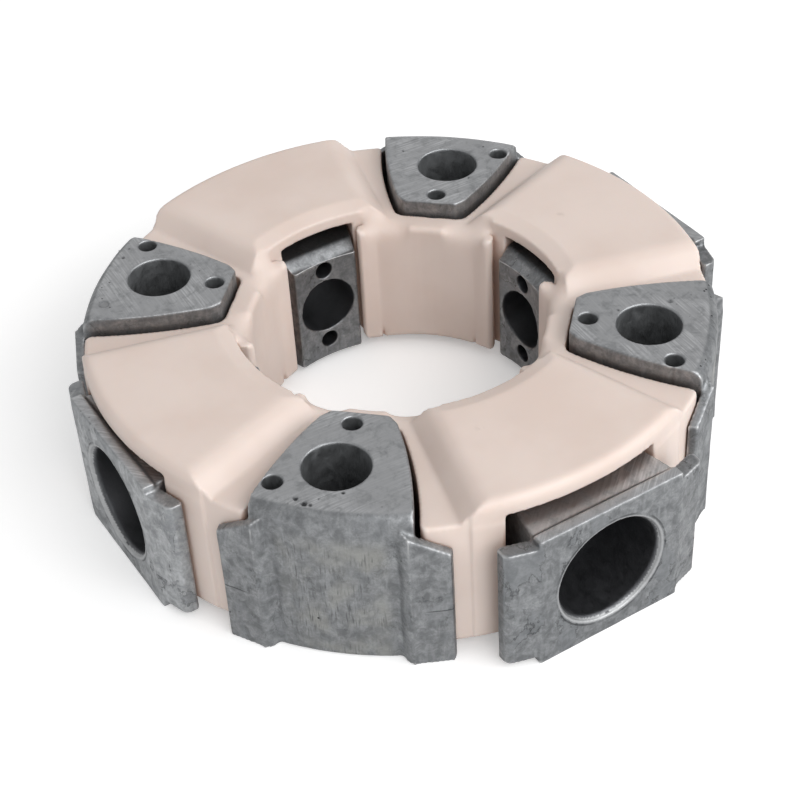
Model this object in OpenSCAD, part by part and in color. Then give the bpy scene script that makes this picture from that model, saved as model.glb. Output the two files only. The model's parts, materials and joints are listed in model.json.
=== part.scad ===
// Flexible shaft coupling element: a moulded elastomer ring that carries eight die-cast
// aluminium inserts. Four axial inserts bolt to a flange and four radial inserts bolt to
// a hub, turn and turn about, so that the torque passes through the ring between them.
// Millimetres. The ring's axis is Z, the inserts stand on z = 0, and the radial inserts
// lie on the X and Y axes with the axial ones half way between.

/* [Elastomer ring] */
// Outer radius of the ring
ring_outer_r = 84; // [81:0.5:87]
// Inner radius at the pillars beside each inner window
pillar_inner_r = 44; // [42.5:0.5:45]
// Height of the ring at its four tall blocks
ring_h = 44.1; // [43:0.1:45.5]
// Height of the ring's underside above the feet of the inserts
foot_h = 3.8; // [3.3:0.1:6]
// How far the saddles between the blocks lie below the block tops
saddle_drop = 5.5; // [4:0.1:7]
// Thickness of the roof over each radial insert
roof_t = 4.9; // [4.2:0.1:5.2]
// Wall between an axial insert and the hub space
inner_wall_t = 6.2; // [5:0.1:7]
// Half angle of the pocket that holds a radial insert
pocket_half_angle = 15.1; // [15:0.1:16]
// Half width of a block, at its foot, where it meets the pillar radius
block_half_w = 24.2; // [22:0.1:25]
// Angle by which the foot of a block widens outwards on each side
block_flare = 16.5; // [15:0.5:18.5]
// Angle by which the saddles lie round from half way between the radial pockets
saddle_turn = 1.4; // [0:0.1:2]
// Slope of the block ends
ramp_angle = 45; // [38:1:60]
// Radius of the shoulder above each ramp
shoulder_r = 7; // [3:0.5:9]
// Radius of the outer top edge of the blocks
outer_edge_r = 2.6; // [1:0.1:3.4]
// Width of the sloping inner edge of the blocks
inner_slope_w = 4.6; // [3:0.1:7]
// Height of that slope
inner_slope_h = 1.6; // [0.8:0.1:3]
// Radius of the rounded edges of saddles and underside
soft_edge_r = 1.6; // [0.8:0.1:2.4]
// Radius of the swept corners between a pillar and the wall behind an axial insert
sweep_r = 3; // [2:0.1:3.3]
// Angle from an axial insert's centre line to the end of the wall behind it
wall_half_angle = 16; // [15:0.2:17.4]
// Depth of the outer recess that seats the wings of an axial insert
wing_seat_depth = 0.6; // [0.3:0.1:1.2]
// Radius of the rounded mouth of each axial pocket
mouth_r = 2.5; // [1:0.1:3]
// Radius of the two inner corners of each axial pocket
pocket_corner_r = 3.5; // [2:0.1:4]
// Radius at the lower corners of each radial pocket
pocket_foot_r = 4; // [2:0.1:6]

/* [Axial inserts] */
// Height of an axial insert
axial_h = 47; // [46.6:0.1:50]
// Pitch circle diameter of the axial bolt holes
axial_pcd = 133; // [131:0.5:135]
// Distance from the ring's axis to the inner end of an axial insert
axial_in = 46.5; // [45.8:0.1:47.2]
// Half width of the inner end
axial_in_half = 8.6; // [8:0.1:9.2]
// Half width where the side meets the outer face
axial_out_half = 19.9; // [19.2:0.1:20.4]
// Radius of the bowed sides
axial_side_r = 120; // [100:1:150]
// Width of the bevel between the inner end and the sides
axial_bevel = 1.2; // [0.6:0.1:2]
// Radius of the soft edge between top and outer face
axial_edge_r = 4; // [2:0.1:5]
// Clearance between the sides of an axial insert and its pocket
axial_clear = 1.3; // [0.6:0.1:1.6]
// Clearance at its inner end
axial_end_clear = 0.9; // [0.5:0.1:1.2]
// Clearance between its wings and their recess in the ring
wing_clear = 0.4; // [0.2:0.1:0.8]
// How far the wings stand proud of the outer face
axial_wing_proud = 2.6; // [2:0.1:3.4]
// Distance from the centre line to the tip of a wing
axial_wing_half = 28.5; // [27.5:0.1:29.5]
// Width over which the outer face rises to a wing
wing_rise_w = 3.2; // [2:0.1:4]
// Height of a wing at its tip
axial_wing_h = 36; // [33:0.5:38]
// Drop of the wing's top edge from its root to its tip
wing_top_drop = 6; // [4:0.5:7]

/* [Radial inserts] */
// Height of a radial insert at its outer plate
radial_h = 41; // [40:0.1:42]
// Radius of the hollowed inner face that meets the hub
hub_r = 40.3; // [39.5:0.1:41.5]
// How far the flat outer face stands out past the outer radius of the ring
plate_proud = 3.6; // [3:0.1:5]
// Thickness of the outer plate at its centre
plate_t = 3.4; // [3:0.1:4]
// Half width of the centre of the plate
plate_half = 21; // [20:0.1:21.3]
// Distance from the centre line to the tip of a wing
radial_wing_half = 29; // [28:0.1:30]
// Thickness of a wing
radial_wing_t = 4.2; // [3.6:0.1:4.6]
// Clearance at the inner end between a radial insert and the sides of its pocket
radial_clear = 0.6; // [0.4:0.05:0.8]
// The same clearance at its outer end
radial_tail_clear = 2; // [1.6:0.1:2.4]
// Radius of the bowed sides of the body
radial_side_r = 400; // [350:10:600]
// How far each radial insert stands out of its seat
radial_out = [0, 0, -1, 4]; // [-1:0.1:4]
// How far each radial insert is lifted off the ground
radial_lift = [1.6, 0, 0, 0]; // [0:0.1:1.6]
// Share of the side clearance by which each radial insert lies over to the left
radial_over = [0, 0, 0, 0.9]; // [0:0.05:0.9]
// How far the body stops above the foot of the plate
body_foot = 2.2; // [1:0.1:3]
// How far the body's top lies below the top of the plate
body_drop = 0.8; // [0.4:0.1:1.4]
// How far the wings stop short of the plate, below and above
wing_short = 2.3; // [1:0.1:3.5]
// Radius of the edge between the inner face and the top
inner_edge_r = 3.3; // [2:0.1:4.5]
// Diameter of the bore that takes the bolt head
head_bore_d = 29.2; // [26:0.2:30]
// Depth of that bore, from the flat outer face to the seat of the bolt head
head_bore_depth = 23.6; // [17.6:0.5:24.6]
// Width of the shallow step around the mouth of that bore
head_step_w = 0.8; // [0.5:0.1:1.5]
// Depth of that step
head_step_depth = 1.2; // [0.6:0.1:2]

/* [Holes] */
// Diameter of the bolt holes in all the inserts
bolt_hole_d = 17; // [14:0.5:17.5]
// Diameter of the small dowel holes
dowel_d = 5.1; // [4:0.1:6]
// Distance of a dowel hole from the axial bolt hole beside it
axial_dowel_pitch = 15.8; // [15:0.1:16.4]
// Distance of a dowel hole above or below the radial bolt hole
radial_dowel_pitch = 12.2; // [12:0.1:12.8]
// Depth of the dowel holes
dowel_depth = 10; // [6:0.5:12]

/* [Hidden] */

$fn = 96;
edge_fn = 48;
side_fn = 360;
insert_count = 4;
step_angle = 360 / insert_count;
half_step = step_angle / 2;
arc_steps = 6;
over = 1;

ring_low = foot_h;
ring_top = ring_low + ring_h;
roof_low = ring_top - roof_t;
saddle_top = ring_top - saddle_drop;
saddle_inner_r = axial_in - axial_end_clear - inner_wall_t;
plate_face = ring_outer_r + plate_proud;
head_seat = plate_face - head_bore_depth;
// Radius and length of the cutters, past every outer face
cut_r = 1.2 * plate_face;

// How far the blocks reach down into the saddles they stand on
block_root = 4;
// How far the walls of a block lie inside those of the ring below it
block_set_back = 0.2;
// How far an arc runs past the face that it blends into
bite = 0.05;
// Angle by which the recess for the wings runs on past their tips
wing_seat_margin = 3.5;
// How far the root of a wing is sunk into the body of its insert
wing_bury = 6;
// Directions of the dowel holes from an axial bolt hole
dowel_angles = [180, -60];
// Lean of an axial wing beyond the slope of the ring's wall at its root
axial_wing_lean = 4;
// Radius of the lower outer edge of an axial insert
axial_foot_r = 1;
// Lean of a radial wing beyond the slope of the ring's wall at its root
radial_wing_lean = 3;
// How far the face of a radial wing lies behind the face of the plate
wing_set_back = 0.4;
// Bevel at the tip of a radial wing
wing_tip_bevel = 0.9;
// How far the plan of a radial insert starts inside the hub's radius
hub_reach = 4;

metal = "#8f9294";
polyester = "#e0cec5";

// Points on an arc from angle a0 to a1 about centre c.
function arc_points(c, r, a0, a1, steps = arc_steps) =
    [for (i = [0 : steps]) c + r * [cos(a0 + (a1 - a0) * i / steps), sin(a0 + (a1 - a0) * i / steps)]];

// A point given by its radius and angle about the ring's axis.
function polar(r, a) = r * [cos(a), sin(a)];

// Direction of a vector, in degrees.
function heading(v) = atan2(v.y, v.x);

// Distance out to the circle of radius r about the ring's axis, at y to one side.
function out_to(r, y) = sqrt(r * r - y * y);

// Centre of the circle of radius r that bows out to the left of the way from p to q.
function bow_centre(p, q, r) =
    let (chord = q - p,
         reach = sqrt(r * r - pow(norm(chord) / 2, 2)))
    (p + q) / 2 + reach * [chord.y, -chord.x] / norm(chord);

// Where two circles cross, on the left of the way from c1 to c2.
function circle_meet(c1, r1, c2, r2) =
    let (d = norm(c2 - c1),
         along = (d * d + r1 * r1 - r2 * r2) / (2 * d),
         aside = sqrt(r1 * r1 - along * along),
         way = (c2 - c1) / d)
    c1 + along * way + aside * [-way.y, way.x];

// The same points mirrored to the other side of the centre line, in reverse order.
function mirrored(points) = [for (i = [len(points) - 1 : -1 : 0]) [points[i].x, -points[i].y]];

// Centre of the bowed side of an axial insert.
axial_side_end = [out_to(ring_outer_r, axial_out_half), axial_out_half];
axial_side_centre = bow_centre([axial_in, axial_in_half], axial_side_end, axial_side_r);

// How far a radial insert lies over to the left in its pocket.
function radial_aside(i) = radial_over[i] * (radial_clear + radial_out[i] * tan(pocket_half_angle));

module place(angle) {
    rotate([0, 0, angle]) children();
}

module both_sides() {
    children();
    mirror([0, 1, 0]) children();
}

// A prism between two rays at plus and minus the half angle.
module wedge(half_angle, low, high) {
    translate([0, 0, low])
        linear_extrude(high - low)
            polygon([[0, 0], polar(2 * cut_r, -half_angle), polar(2 * cut_r, half_angle)]);
}

// Half section of the ring at its saddles, with all four edges rounded.
module saddle_section(inner_r) {
    inset = soft_edge_r;
    translate([inner_r + inset, ring_low])
        square([ring_outer_r - inner_r - 2 * inset, saddle_top - ring_low]);
    translate([inner_r, ring_low + inset])
        square([ring_outer_r - inner_r, saddle_top - ring_low - 2 * inset]);
    for (x = [inner_r + inset, ring_outer_r - inset], y = [ring_low + inset, saddle_top - inset])
        translate([x, y]) circle(r = inset, $fn = edge_fn);
}

// Half section of a block: a sloping inner edge, a flat top and a rounded outer edge.
module block_section() {
    low = saddle_top - block_root;
    inner_x = pillar_inner_r + block_set_back;
    outer_x = ring_outer_r - block_set_back;
    outer = [outer_x - outer_edge_r, ring_top - outer_edge_r];
    polygon([[inner_x, low],
             [outer_x, low],
             [outer_x, outer.y],
             outer,
             [outer.x, ring_top],
             [inner_x + inner_slope_w, ring_top],
             [inner_x, ring_top - inner_slope_h]]);
    translate(outer) circle(r = outer_edge_r, $fn = edge_fn);
}

// Everything on the block's side of one end ramp, with a round shoulder at the top.
module ramp_side() {
    low = saddle_top - block_root - over;
    foot_x = (saddle_top - low) / tan(ramp_angle);
    shoulder_x = -saddle_drop / tan(ramp_angle) - shoulder_r * tan(ramp_angle / 2);
    shoulder = [shoulder_x, ring_top - shoulder_r];
    translate([pillar_inner_r, block_half_w, 0])
        rotate([0, 0, block_flare])
            rotate([90, 0, 90])
                linear_extrude(2 * cut_r, center = true)
                    polygon(concat([[-cut_r, low], [foot_x, low]],
                                   arc_points(shoulder, shoulder_r, 90 - ramp_angle, 90),
                                   [[-cut_r, ring_top]]));
}

module block() {
    intersection() {
        rotate_extrude() block_section();
        wedge(half_step, saddle_top - block_root, ring_top + over);
        ramp_side();
        mirror([0, 1, 0]) ramp_side();
    }
}

// The wall behind an axial insert, which swells into the hub space past the pillars.
module back_wall() {
    crest = polar(saddle_inner_r + sweep_r - bite, wall_half_angle);
    hollow_r = pillar_inner_r - sweep_r + bite;
    // The two swept corners touch where their centres lie two radii apart.
    spread = acos((pow(norm(crest), 2) + pow(hollow_r, 2) - pow(2 * sweep_r, 2))
                  / (2 * norm(crest) * hollow_r));
    hollow_angle = wall_half_angle + spread;
    hollow = polar(hollow_r, hollow_angle);
    touch = heading(hollow - crest);
    edge = concat([polar(saddle_inner_r - over, wall_half_angle)],
                  arc_points(crest, sweep_r, wall_half_angle + 180, touch),
                  arc_points(hollow, sweep_r, touch + 180, hollow_angle),
                  [polar(pillar_inner_r + sweep_r, hollow_angle)]);
    intersection() {
        rotate_extrude() saddle_section(saddle_inner_r);
        translate([0, 0, ring_low - over])
            linear_extrude(ring_h) polygon(concat(mirrored(edge), edge));
    }
}

// Plan of the pocket for an axial insert, with rounded inner corners and mouth.
module axial_pocket_plan() {
    side_r = axial_side_r + axial_clear;
    centre = axial_side_centre;
    corner_x = axial_in - axial_end_clear + pocket_corner_r;
    corner = [corner_x, centre.y + out_to(side_r - pocket_corner_r, corner_x - centre.x)];
    lobe = circle_meet([0, 0], ring_outer_r - mouth_r, centre, side_r + mouth_r);
    half = concat(arc_points(corner, pocket_corner_r, 180, heading(corner - centre)),
                  arc_points(centre, side_r, heading(corner - centre), heading(lobe - centre),
                             2 * arc_steps),
                  arc_points(lobe, mouth_r, heading(centre - lobe), heading(lobe)),
                  [polar(cut_r, heading(lobe))]);
    polygon(concat(mirrored(half), half));
}

// Pocket for a radial insert: its sides run straight out from the ring's axis.
module radial_pocket() {
    wedge(pocket_half_angle, ring_low - over, roof_low);
}

// Rounded lower corner along one side of a radial pocket.
module pocket_foot() {
    centre = [pocket_foot_r - bite, ring_low + pocket_foot_r - bite];
    rotate([0, 0, pocket_half_angle])
        rotate([90, 0, 90])
            linear_extrude(cut_r)
                polygon(concat([[-over, ring_low - over], [centre.x, ring_low - over]],
                               arc_points(centre, pocket_foot_r, 270, 180),
                               [[-over, centre.y]]));
}

// Shallow recess in the ring's outer wall under the wings of an axial insert.
module wing_seat() {
    seat_half_angle = atan(axial_wing_half / axial_side_end.x) + wing_seat_margin;
    intersection() {
        translate([0, 0, ring_low - over])
            linear_extrude(ring_h + 2 * over)
                difference() {
                    circle(r = cut_r);
                    circle(r = ring_outer_r - wing_seat_depth);
                }
        wedge(seat_half_angle, ring_low - over, ring_top + over);
    }
}

module elastomer_ring() {
    color(polyester)
        difference() {
            union() {
                rotate_extrude() saddle_section(pillar_inner_r);
                for (i = [0 : insert_count - 1]) {
                    place(i * step_angle + saddle_turn) block();
                    place(half_step + i * step_angle + saddle_turn) back_wall();
                }
            }
            for (i = [0 : insert_count - 1]) {
                place(half_step + i * step_angle + saddle_turn) {
                    translate([0, 0, ring_low - over])
                        linear_extrude(ring_h + 2 * over) axial_pocket_plan();
                    wing_seat();
                }
                place(i * step_angle) {
                    radial_pocket();
                    both_sides() pocket_foot();
                }
            }
        }
}

// Plan of an axial insert: bowed sides and a bevelled inner end, run out past the ring.
module axial_plan() {
    bevel_y = axial_in_half - axial_bevel;
    reach = cut_r - axial_in;
    intersection() {
        polygon([[axial_in, -bevel_y],
                 [cut_r, -bevel_y - reach],
                 [cut_r, bevel_y + reach],
                 [axial_in, bevel_y]]);
        translate(axial_side_centre) circle(r = axial_side_r, $fn = side_fn);
        mirror([0, 1, 0]) translate(axial_side_centre) circle(r = axial_side_r, $fn = side_fn);
    }
}

// Half section that gives an axial insert its round outer face and soft top edge.
module axial_face_section() {
    top = [ring_outer_r - axial_edge_r, axial_h - axial_edge_r];
    foot = [ring_outer_r - axial_foot_r, axial_foot_r];
    square([top.x, axial_h]);
    square([foot.x, top.y]);
    translate([0, foot.y]) square([ring_outer_r, top.y - foot.y]);
    translate(top) circle(r = axial_edge_r, $fn = edge_fn);
    translate(foot) circle(r = axial_foot_r, $fn = edge_fn);
}

// One wing of an axial insert, laid back along the ring.
module axial_wing() {
    root = axial_out_half - over;
    reach = axial_wing_half - root;
    lean = asin(root / ring_outer_r) + axial_wing_lean;
    rise_start = root - wing_rise_w;
    back_r = ring_outer_r - wing_seat_depth + wing_clear;
    face_root = [out_to(ring_outer_r, root) + axial_wing_proud, root];
    tip = [face_root.x - reach * tan(lean), axial_wing_half];
    back_root_x = out_to(back_r, axial_out_half);
    top_slope = atan(wing_top_drop / reach);
    difference() {
        linear_extrude(axial_wing_h + wing_top_drop + over)
            polygon([[back_root_x - wing_bury, rise_start],
                     [out_to(ring_outer_r, rise_start), rise_start],
                     face_root,
                     tip,
                     [out_to(back_r, axial_wing_half), axial_wing_half],
                     [back_root_x, axial_out_half],
                     [back_root_x - wing_bury, root - over]]);
        translate([0, axial_wing_half, axial_wing_h])
            rotate([-top_slope, 0, 0])
                translate([0, -axial_wing_half, 0])
                    cube([cut_r, 2 * axial_wing_half, axial_h]);
    }
}

// The holes stay half way between the radial ones, so they lie back by the saddles' turn.
module axial_insert() {
    color(metal)
        difference() {
            union() {
                intersection() {
                    linear_extrude(axial_h) axial_plan();
                    rotate_extrude() axial_face_section();
                }
                both_sides() axial_wing();
            }
            rotate([0, 0, -saddle_turn])
                translate([axial_pcd / 2, 0, 0]) {
                    translate([0, 0, -over]) cylinder(d = bolt_hole_d, h = axial_h + 2 * over);
                    for (a = dowel_angles)
                        rotate([0, 0, a])
                            translate([axial_dowel_pitch, 0, axial_h - dowel_depth])
                                cylinder(d = dowel_d, h = dowel_depth + over, $fn = edge_fn);
                }
        }
}

// Plan of the body of a radial insert, with bowed sides that leave more play further out.
module radial_body_plan() {
    side_in = [hub_r, hub_r * tan(pocket_half_angle) - radial_clear];
    side_out = [ring_outer_r, ring_outer_r * tan(pocket_half_angle) - radial_tail_clear];
    centre = bow_centre(side_in, side_out, radial_side_r);
    inner_x = hub_r - hub_reach;
    outer_x = plate_face - plate_t + over;
    intersection() {
        translate([inner_x, -cut_r]) square([outer_x - inner_x, 2 * cut_r]);
        translate(centre) circle(r = radial_side_r, $fn = 2 * side_fn);
        mirror([0, 1, 0]) translate(centre) circle(r = radial_side_r, $fn = 2 * side_fn);
    }
}

// Cut that leaves the hollowed inner face and the round edge above it.
module hub_face_cut(body_top) {
    edge = [hub_r + inner_edge_r, body_top - inner_edge_r];
    translate([0, 0, -over]) cylinder(r = hub_r, h = radial_h + 2 * over);
    rotate_extrude()
        difference() {
            translate([hub_r - over, edge.y]) square([inner_edge_r + over, inner_edge_r + over]);
            translate(edge) circle(r = inner_edge_r, $fn = edge_fn);
        }
}

// One wing of a radial insert, laid back along the ring.
module radial_wing() {
    lean = asin(plate_half / plate_face) + radial_wing_lean;
    face = plate_face - wing_set_back;
    back = plate_face - radial_wing_t / cos(lean);
    root = plate_half - over;
    fall = (radial_wing_half - root) * tan(lean);
    bevel = wing_tip_bevel;
    translate([0, 0, wing_short])
        linear_extrude(radial_h - 2 * wing_short)
            polygon([[face, root - over],
                     [face, root + wing_set_back / tan(lean)],
                     [plate_face - fall + bevel * tan(lean), radial_wing_half - bevel],
                     [plate_face - fall - bevel, radial_wing_half],
                     [back - fall + bevel, radial_wing_half],
                     [back - fall + bevel * tan(lean), radial_wing_half - bevel],
                     [back, root],
                     [back, root - over]]);
}

module radial_insert() {
    body_top = radial_h - body_drop;
    color(metal)
        difference() {
            union() {
                translate([0, 0, body_foot])
                    linear_extrude(body_top - body_foot) radial_body_plan();
                translate([plate_face - plate_t, -plate_half, 0])
                    cube([plate_t, 2 * plate_half, radial_h]);
                both_sides() radial_wing();
            }
            hub_face_cut(body_top);
            translate([0, 0, radial_h / 2]) {
                radial_hole(0, bolt_hole_d, plate_face + over);
                radial_hole(head_seat, head_bore_d, plate_face + over);
                radial_hole(plate_face - head_step_depth, head_bore_d + 2 * head_step_w, plate_face + over);
                for (s = [-1, 1])
                    translate([0, 0, s * radial_dowel_pitch]) radial_hole(0, dowel_d, hub_r + dowel_depth);
            }
        }
}

// Round hole along the line out from the ring's axis, from one distance to another.
module radial_hole(from, diameter, to) {
    translate([from, 0, 0]) rotate([0, 90, 0]) cylinder(d = diameter, h = to - from);
}

elastomer_ring();
for (i = [0 : insert_count - 1]) {
    place(half_step + i * step_angle + saddle_turn) axial_insert();
    place(i * step_angle)
            translate([radial_out[i], radial_aside(i), radial_lift[i]]) radial_insert();
}
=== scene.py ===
"""Looks of a flexible shaft coupling element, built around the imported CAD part.

A moulded polyester elastomer ring carries eight die-cast aluminium inserts, four that bolt
to a flange and four that bolt to a hub. Each CAD node is replaced by a copy of itself with
the soft edges, casting marks and pits of the real piece, and takes a procedural finish.
Lengths are millimetres until they reach Blender, which works in metres.
"""
from __future__ import annotations

import itertools
import json
import logging
import math
from dataclasses import dataclass, replace
from enum import Enum

import bmesh
import bpy
import numpy as np
from mathutils import Euler, Matrix, Vector, noise

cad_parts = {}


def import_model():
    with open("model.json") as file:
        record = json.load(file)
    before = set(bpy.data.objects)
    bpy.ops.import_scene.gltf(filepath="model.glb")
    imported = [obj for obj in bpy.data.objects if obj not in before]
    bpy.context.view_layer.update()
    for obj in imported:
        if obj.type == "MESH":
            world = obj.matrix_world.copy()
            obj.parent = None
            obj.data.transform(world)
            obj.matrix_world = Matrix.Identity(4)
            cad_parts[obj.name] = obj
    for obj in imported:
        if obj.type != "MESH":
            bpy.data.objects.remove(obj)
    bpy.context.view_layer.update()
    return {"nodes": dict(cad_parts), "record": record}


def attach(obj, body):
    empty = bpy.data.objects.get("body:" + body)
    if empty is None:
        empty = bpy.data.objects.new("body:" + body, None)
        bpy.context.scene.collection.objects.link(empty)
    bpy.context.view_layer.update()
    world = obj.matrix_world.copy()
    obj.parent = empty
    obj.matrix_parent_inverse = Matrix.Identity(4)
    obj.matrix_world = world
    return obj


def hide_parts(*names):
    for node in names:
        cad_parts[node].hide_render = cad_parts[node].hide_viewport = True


Material = bpy.types.Material
Mesh = bpy.types.Mesh
Node = bpy.types.Node
Object = bpy.types.Object
Socket = bpy.types.NodeSocket
Tree = bpy.types.NodeTree

LOG = logging.getLogger("coupling")
MM = 0.001

# The inserts of the flange lie this far round from half way between the hub's inserts.
SADDLE_TURN = 1.4
INSERT_COUNT = 4
STEP_ANGLE = 360 / INSERT_COUNT

# The dowel holes, and where the hub's bolt starts on a radial insert's own axes.
DOWEL_RADIUS = 2.55
AXIAL_DOWEL_PITCH = 15.8
AXIAL_DOWEL_TURNS = (180, -60)
RADIAL_DOWEL_PITCH = 12.2
HUB_BOLT_X = 52.0
HUB_BOLT_Z = 20.5

# How far apart, in millimetres, neighbouring pieces lie in the noise of their finish.
PATTERN_STEP = (37.0, 211.0, 83.0)

RING_NODE = "elastomer_ring"
# The insert on the left takes a paler, lit copy of the skin, as painted light on its plate.
LIT_COPY_NODE = "radial_insert_3"
ELASTOMER_SLOT = "elastomer"
METAL_SLOT = "cast_metal"


class Face(Enum):
    """Which side of an insert a mark lies on, named by the local axis that it faces along."""

    OUTER = 0
    TOP = 2


def linear(hex_colour: str) -> tuple[float, float, float, float]:
    """Turn an sRGB hex colour into the linear colour that Blender's sockets hold.

    Args:
        hex_colour: the colour, such as "#e0cfc7".

    Returns:
        Linear red, green, blue and an alpha of one.
    """
    parts = [int(hex_colour[i : i + 2], 16) / 255 for i in (1, 3, 5)]
    red, green, blue = [p / 12.92 if p <= 0.04045 else ((p + 0.055) / 1.055) ** 2.4 for p in parts]
    return red, green, blue, 1.0


def add(
    tree: Tree,
    kind: str,
    settings: dict | None = None,
    inputs: dict | None = None,
) -> Node:
    """Add a node to a tree with its settings, and set or link its inputs.

    Args:
        tree: the node tree that takes the node.
        kind: Blender's name for the kind of node.
        settings: properties of the node by name.
        inputs: values or output sockets by the name or number of the input that takes them.

    Returns:
        The new node.
    """
    made = tree.nodes.new(kind)
    for name, value in (settings or {}).items():
        setattr(made, name, value)
    for key, value in (inputs or {}).items():
        if isinstance(value, Socket):
            tree.links.new(value, made.inputs[key])
        else:
            made.inputs[key].default_value = value
    return made


def maths(tree: Tree, operation: str, *values: object) -> Socket:
    """Add a maths node.

    Args:
        tree: the node tree.
        operation: the maths node's operation.
        values: its inputs in order, as numbers or sockets.

    Returns:
        The socket with the result.
    """
    made = add(tree, "ShaderNodeMath", {"operation": operation}, dict(enumerate(values)))
    return made.outputs[0]


def blend(tree: Tree, factor: Socket, first: Socket | str, second: Socket | str) -> Socket:
    """Mix two colours.

    Args:
        tree: the node tree.
        factor: how much of the second colour shows, from 0 to 1.
        first: the first colour, as a socket or an sRGB hex colour.
        second: the second colour, likewise.

    Returns:
        The socket with the mixed colour.
    """
    low, high = (linear(end) if isinstance(end, str) else end for end in (first, second))
    settings = {"data_type": "RGBA", "clamp_factor": True}
    made = add(tree, "ShaderNodeMix", settings, {0: factor, 6: low, 7: high})
    return made.outputs[2]


def span(
    tree: Tree, value: Socket, low: float, high: float, to_low: float = 0.0, to_high: float = 1.0
) -> Socket:
    """Map a value smoothly from one range to another and clamp it there.

    Args:
        tree: the node tree.
        value: the socket to map.
        low: value that maps to to_low.
        high: value that maps to to_high.
        to_low: start of the new range.
        to_high: end of the new range.

    Returns:
        The socket with the mapped value.
    """
    settings = {"interpolation_type": "SMOOTHSTEP", "clamp": True}
    made = add(
        tree,
        "ShaderNodeMapRange",
        settings,
        {"Value": value, "From Min": low, "From Max": high, "To Min": to_low, "To Max": to_high},
    )
    return made.outputs[0]


def place_in_mm(tree: Tree, offset_each: bool = True) -> Socket:
    """Place on the piece in millimetres, in its own axes, moved on by a step for each piece.

    Args:
        tree: the node tree.
        offset_each: True where each piece takes another part of a pattern.

    Returns:
        The socket with the place.
    """
    where = add(tree, "ShaderNodeTexCoord").outputs["Object"]
    scaled = add(tree, "ShaderNodeVectorMath", {"operation": "SCALE"}, {0: where, "Scale": 1 / MM})
    if not offset_each:
        return scaled.outputs[0]
    index = add(tree, "ShaderNodeObjectInfo").outputs["Object Index"]
    scale = {"operation": "SCALE"}
    step = add(tree, "ShaderNodeVectorMath", scale, {0: PATTERN_STEP, "Scale": index}).outputs[0]
    both = {0: scaled.outputs[0], 1: step}
    return add(tree, "ShaderNodeVectorMath", {"operation": "ADD"}, both).outputs[0]


def pattern(
    tree: Tree,
    place: Socket,
    size_mm: float,
    detail: float = 3.0,
    stretch: tuple[float, float, float] = (1.0, 1.0, 1.0),
    turn_deg: tuple[float, float, float] = (0.0, 0.0, 0.0),
    distortion: float = 0.0,
    roughness: float = 0.5,
) -> Socket:
    """Noise whose features are about a given size.

    Args:
        tree: the node tree.
        place: place in millimetres.
        size_mm: size of one feature.
        detail: how many finer levels it has.
        stretch: how many times longer a feature is along each axis.
        turn_deg: turn of the stretched axes.
        distortion: how far the pattern is pulled about.
        roughness: how strongly the finer levels show.

    Returns:
        The socket with the noise, which is about 0.5 on average.
    """
    turned = add(
        tree,
        "ShaderNodeMapping",
        {"vector_type": "TEXTURE"},
        {"Vector": place, "Rotation": [math.radians(a) for a in turn_deg], "Scale": stretch},
    )
    made = add(
        tree,
        "ShaderNodeTexNoise",
        {},
        {
            "Vector": turned.outputs[0],
            "Scale": 1 / size_mm,
            "Detail": detail,
            "Roughness": roughness,
            "Distortion": distortion,
        },
    )
    return made.outputs["Fac"]


def mask(tree: Tree, name: str) -> Socket:
    """The value of a mesh attribute, from 0 to 1."""
    return add(tree, "ShaderNodeAttribute", {"attribute_name": name}).outputs["Fac"]


def spots(tree: Tree, place: Socket, spacing_mm: float, radius_mm: float, core: float) -> Socket:
    """Scattered round spots.

    Args:
        tree: the node tree.
        place: place in millimetres.
        spacing_mm: how far apart they lie.
        radius_mm: their radius.
        core: share of the radius that a spot covers in full.

    Returns:
        The socket with 1 in a spot and 0 away from one.
    """
    scaled = {"Vector": place, "Scale": 1 / spacing_mm}
    away = add(tree, "ShaderNodeTexVoronoi", {}, scaled).outputs["Distance"]
    radius = radius_mm / spacing_mm
    return span(tree, away, radius, radius * core)


def relief(tree: Tree, height: Socket, strength: float, depth_mm: float) -> Socket:
    """Turn heights that are too small for the mesh into a normal.

    Args:
        tree: the node tree.
        height: the heights, from 0 to 1.
        strength: how strongly they show.
        depth_mm: the depth that a height of 1 stands for.

    Returns:
        The socket with the normal.
    """
    settings = {"Strength": strength, "Distance": depth_mm * MM, "Height": height}
    return add(tree, "ShaderNodeBump", {}, settings).outputs[0]


def new_material(name: str) -> tuple[Material, Tree, Node]:
    """Start a material.

    Args:
        name: its name.

    Returns:
        The material, its node tree and its Principled shader.
    """
    material = bpy.data.materials.new(name)
    material.use_nodes = True
    tree = material.node_tree
    return material, tree, tree.nodes["Principled BSDF"]


@dataclass(frozen=True)
class Smudge:
    """A faint mark on the elastomer.

    The place is in millimetres about the ring's axis, and the size is its radius.
    """

    place: tuple[float, float, float]
    size: float
    strength: float


# Where the photograph shows faint grey rubs on the blocks and on the edge of the hub space.
SMUDGES = (
    Smudge((-12.2, -56.5, 47.9), 1.8, 0.35),
    Smudge((-9.0, -39.8, 46.0), 3.2, 0.45),
    Smudge((57.0, 5.3, 47.9), 1.8, 0.3),
    Smudge((-41.8, -12.1, 46.5), 2.6, 0.4),
)


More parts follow.
